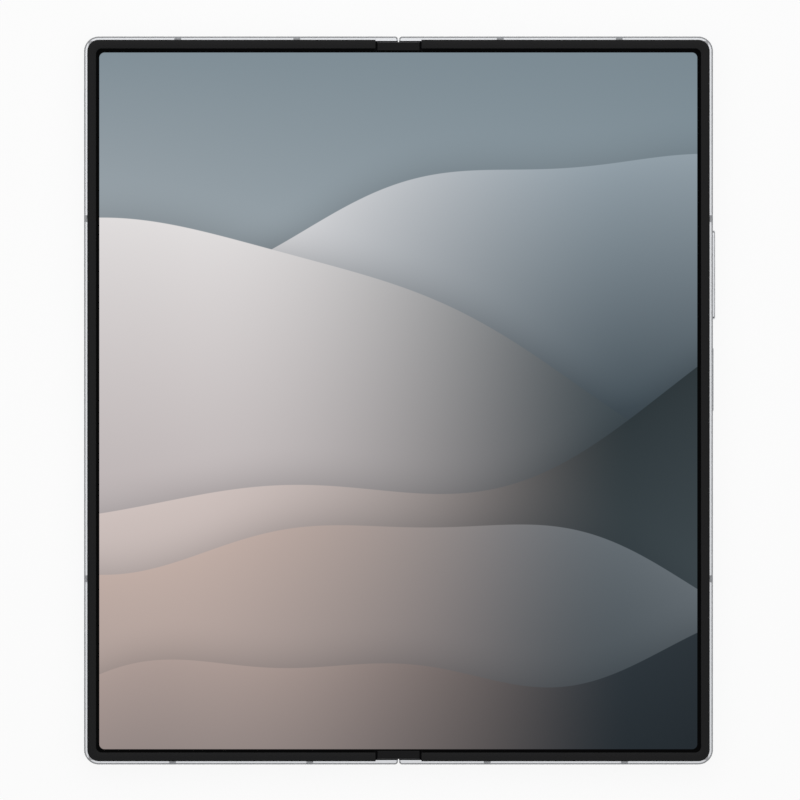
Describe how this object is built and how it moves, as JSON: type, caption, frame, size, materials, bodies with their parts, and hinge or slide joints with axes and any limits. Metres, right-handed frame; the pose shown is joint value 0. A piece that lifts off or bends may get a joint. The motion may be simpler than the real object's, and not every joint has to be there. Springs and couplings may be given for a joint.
{
  "type": "foldable smartphone",
  "caption": "Foldable smartphone lying open: two slim metal-framed halves on a rolling-gear hinge, one folding inner display, rear cameras, side keys and card tray.",
  "frame": {"origin": "on the fold line at the middle of the body, level with the faces of the rear camera rings, which are the lowest points", "axes": "+X across the fold towards the half with the keys, +Y towards the top of the phone, +Z out of the inner display"},
  "size_m": [0.1331, 0.1536, 0.0073],
  "materials": {
    "frame_metal": "satin anodised",
    "antenna_plastic": "satin grey",
    "bezel_black": "satin black",
    "display": "glossy display film",
    "steel": "plain",
    "screw_steel": "dark plated",
    "rear_glass": "satin etched, silver grey",
    "cover_glass": "polished",
    "island_black": "satin",
    "lens_glass": "coated",
    "camera_black": "matt",
    "flash": "frosted",
    "board_green": "solder mask",
    "shield": "plain",
    "battery_foil": "foil",
    "copper": "enamelled copper",
    "gear_brass": "plain",
    "cast_base": "moulded steel",
    "spine_paint": "satin",
    "magnet": "nickel plated",
    "switch_metal": "plain"
  },
  "bodies": {
    "right_half": {"right_frame": "frame_metal", "right_antenna_bands": "antenna_plastic", "right_bezel": "bezel_black", "display_right": "display", "right_rail_bracket_top": "steel", "right_rail_bracket_bottom": "steel", "right_sync_bracket": "steel", "right_screws": "screw_steel", "back_glass": "rear_glass", "camera_island": "island_black", "camera_rings": "frame_metal", "camera_lenses": "lens_glass", "camera_module_1": "camera_black", "camera_module_2": "camera_black", "camera_module_3": "camera_black", "flash_led": "flash", "main_board": "board_green", "board_shields": "shield", "right_battery": "battery_foil", "charging_coil": "copper", "usb_port": "shield", "usb_board": "board_green", "vibration_motor": "shield", "right_magnets": "magnet", "key_switches": "switch_metal"},
    "hinge": {"hinge_cover": "spine_paint", "hinge_base_top": "cast_base", "hinge_base_middle": "cast_base", "hinge_base_bottom": "cast_base", "hinge_cap_top": "bezel_black", "hinge_cap_bottom": "bezel_black", "centre_plate": "steel", "display_fold": "display"},
    "left_half": {"left_frame": "frame_metal", "left_antenna_bands": "antenna_plastic", "left_bezel": "bezel_black", "display_left": "display", "left_rail_bracket_top": "steel", "left_rail_bracket_bottom": "steel", "left_sync_bracket": "steel", "left_screws": "screw_steel", "cover_glass": "cover_glass", "cover_display": "display", "cover_camera": "camera_black", "left_battery": "battery_foil", "left_board": "board_green", "top_speaker": "camera_black", "bottom_speaker": "camera_black", "card_reader": "shield", "left_magnets": "magnet"},
    "volume_key": {"volume_key": "frame_metal"},
    "side_key": {"side_key": "frame_metal"},
    "card_tray": {"card_tray": "frame_metal"},
    "right_wing": {"right_wing_plate": "steel"},
    "left_wing": {"left_wing_plate": "steel"},
    "right_drive": {"right_drive_gear": "gear_brass"},
    "left_drive": {"left_drive_gear": "gear_brass"},
    "right_idler": {"right_idler_gear": "gear_brass"},
    "left_idler": {"left_idler_gear": "gear_brass"}
  },
  "joints": [
    {"name": "right_fold", "type": "hinge", "parent": "right_half", "child": "hinge", "pos_m": [0.00145, 0, 0.0063], "axis": [0, 1, 0], "range_deg": [0, 90], "deforming": ["display_fold"]},
    {"name": "left_fold", "type": "hinge", "parent": "hinge", "child": "left_half", "pos_m": [-0.00145, 0, 0.0063], "axis": [0, 1, 0], "range_deg": [0, 90]},
    {"name": "right_wing_swing", "type": "hinge", "parent": "right_half", "child": "right_wing", "pos_m": [0.006, 0, 0.00595], "axis": [0, 1, 0], "range_deg": [-17, 0]},
    {"name": "left_wing_swing", "type": "hinge", "parent": "left_half", "child": "left_wing", "pos_m": [-0.006, 0, 0.00595], "axis": [0, 1, 0], "range_deg": [0, 17]},
    {"name": "right_drive_turn", "type": "hinge", "parent": "hinge", "child": "right_drive", "pos_m": [0.00211, 0, 0.00467], "axis": [0, 1, 0], "range_deg": [-315.01, 0]},
    {"name": "left_drive_turn", "type": "hinge", "parent": "hinge", "child": "left_drive", "pos_m": [-0.00211, 0, 0.00467], "axis": [0, 1, 0], "range_deg": [0, 315.01]},
    {"name": "right_idler_turn", "type": "hinge", "parent": "hinge", "child": "right_idler", "pos_m": [0.0007, 0, 0.00467], "axis": [0, 1, 0], "range_deg": [0, 315.01]},
    {"name": "left_idler_turn", "type": "hinge", "parent": "hinge", "child": "left_idler", "pos_m": [-0.0007, 0, 0.00467], "axis": [0, 1, 0], "range_deg": [-315.01, 0]},
    {"name": "volume_rock", "type": "hinge", "parent": "right_half", "child": "volume_key", "pos_m": [0.06508, 0.0265, 0.00425], "axis": [0, 0, 1], "range_deg": [-1.2, 1.2], "stiffness_Nm_per_rad": 0.8},
    {"name": "side_key_press", "type": "slide", "parent": "right_half", "child": "side_key", "axis": [-1, 0, 0], "range_m": [0, 0.0002], "stiffness_N_per_m": 4000},
    {"name": "card_tray_slide", "type": "slide", "parent": "left_half", "child": "card_tray", "axis": [-1, 0, 0], "range_m": [0, 0.016]}
  ],
  "couplings": [
    {"joint": "left_fold", "follows": "right_fold", "ratio": 1},
    {"joint": "right_wing_swing", "follows": "right_fold", "ratio": -0.18889},
    {"joint": "left_wing_swing", "follows": "right_fold", "ratio": 0.18889},
    {"joint": "right_drive_turn", "follows": "right_fold", "ratio": -3.5},
    {"joint": "left_drive_turn", "follows": "right_fold", "ratio": 3.5},
    {"joint": "right_idler_turn", "follows": "right_fold", "ratio": 3.5},
    {"joint": "left_idler_turn", "follows": "right_fold", "ratio": -3.5}
  ]
}
